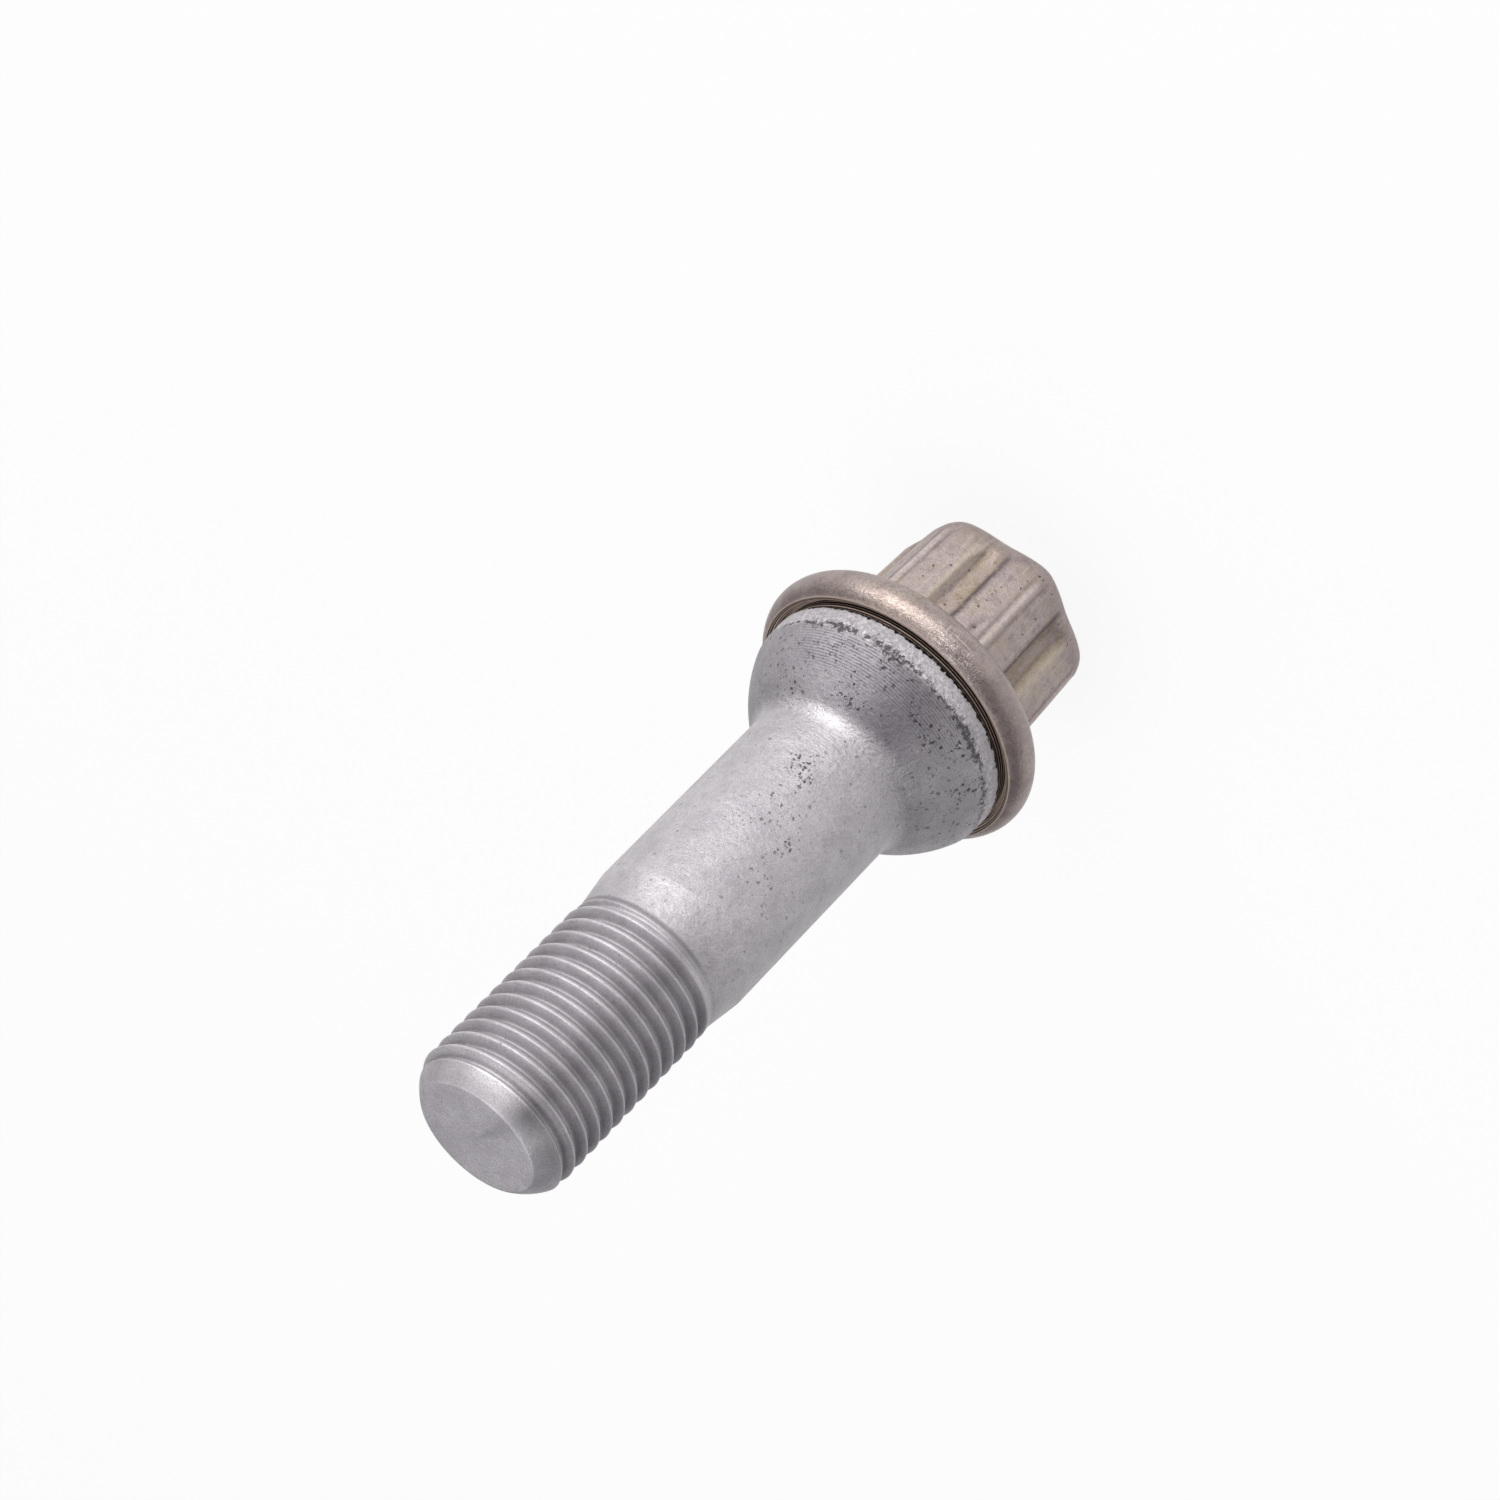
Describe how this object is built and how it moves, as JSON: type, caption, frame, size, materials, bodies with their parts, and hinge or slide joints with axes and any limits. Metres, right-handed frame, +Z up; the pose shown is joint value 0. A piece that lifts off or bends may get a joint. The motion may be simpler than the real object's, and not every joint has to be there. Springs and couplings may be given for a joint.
{
  "type": "wheel bolt",
  "caption": "Ball-seat wheel bolt with a plain shank, a threaded end and a sheet-metal cap over its lobed, fluted head.",
  "frame": {"origin": "centre of the head's end face, which is the lowest face of the part as it stands on its head", "axes": "+Z up the bolt's axis from the head towards the thread's tip, +X through the crest of one of the head's lobes"},
  "size_m": [0.026, 0.026, 0.0687],
  "materials": {
    "zinc_flake_steel": "silver-grey zinc-flake coating, satin, with small dark pits",
    "nickel_cap": "warm nickel-coloured sheet metal, satin, with brownish stains in the flutes"
  },
  "bodies": {
    "root": {"bolt": "zinc_flake_steel", "head_cap": "nickel_cap"}
  },
  "joints": []
}
